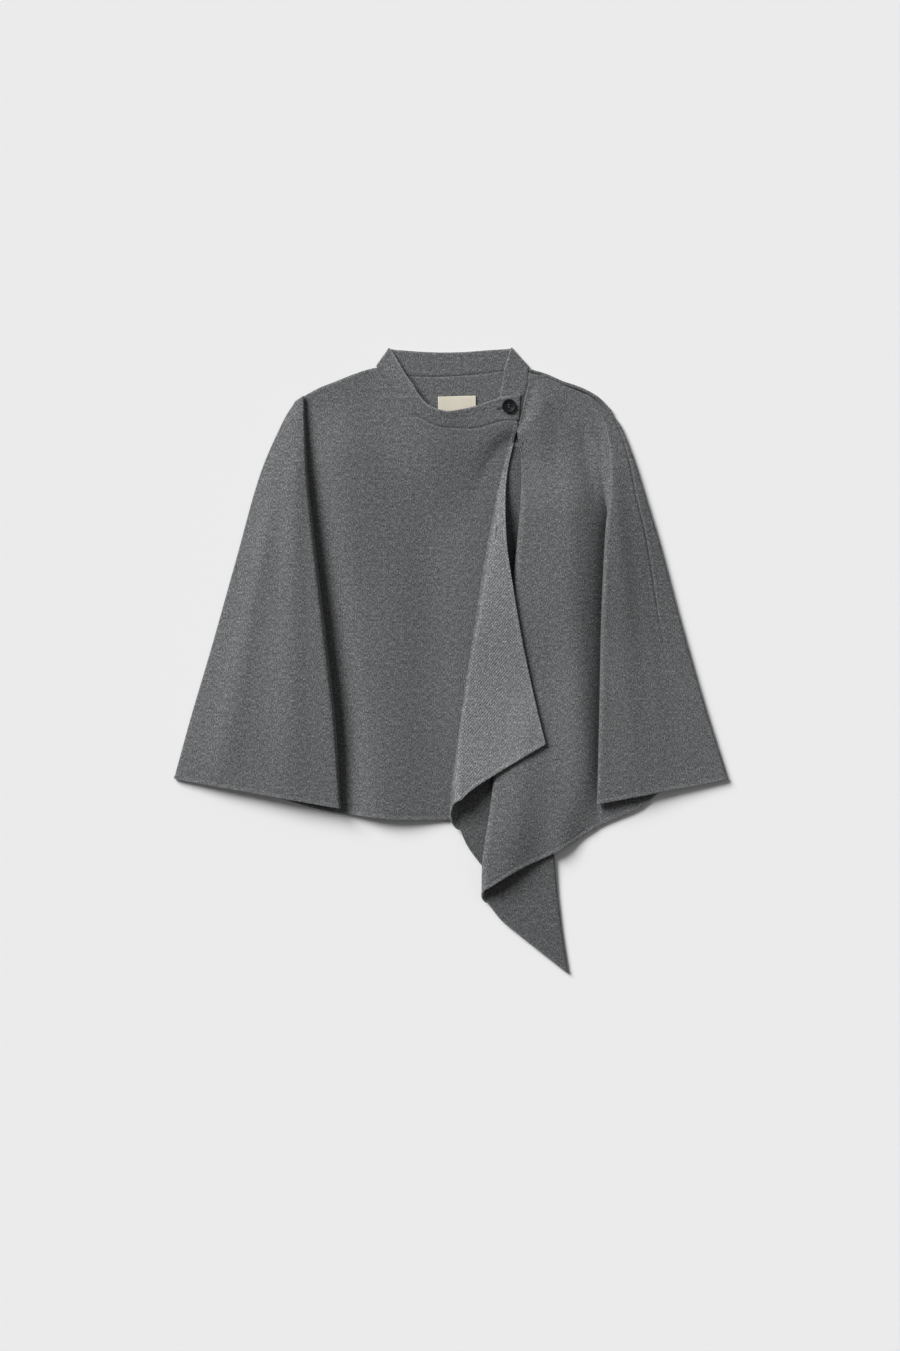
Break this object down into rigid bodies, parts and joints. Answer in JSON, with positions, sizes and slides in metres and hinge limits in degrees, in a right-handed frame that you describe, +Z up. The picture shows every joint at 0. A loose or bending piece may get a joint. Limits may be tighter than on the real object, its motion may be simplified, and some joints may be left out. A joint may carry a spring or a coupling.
{
  "type": "wool cape coat",
  "caption": "Short sleeveless wool cape laid flat, with a buttoned stand collar, deep side pleats and a draped front corner that folds over itself.",
  "frame": {"origin": "centre of the bounding box in X and Y, on the surface that the garment lies on", "axes": "+Z up out of the front of the garment, +Y from hem to collar, +X towards the wearer's left"},
  "size_m": [0.8041, 0.9074, 0.0377],
  "materials": {
    "wool_melton": "felted nap, heathered mid grey",
    "label_tape": "satin woven",
    "button_resin": "polished",
    "sewing_thread": "twisted polyester"
  },
  "bodies": {
    "root": {"back_panel": "wool_melton", "right_front": "wool_melton", "left_front": "wool_melton", "stand_collar": "wool_melton", "neck_label": "label_tape", "button": "button_resin", "button_thread": "sewing_thread"}
  },
  "joints": []
}
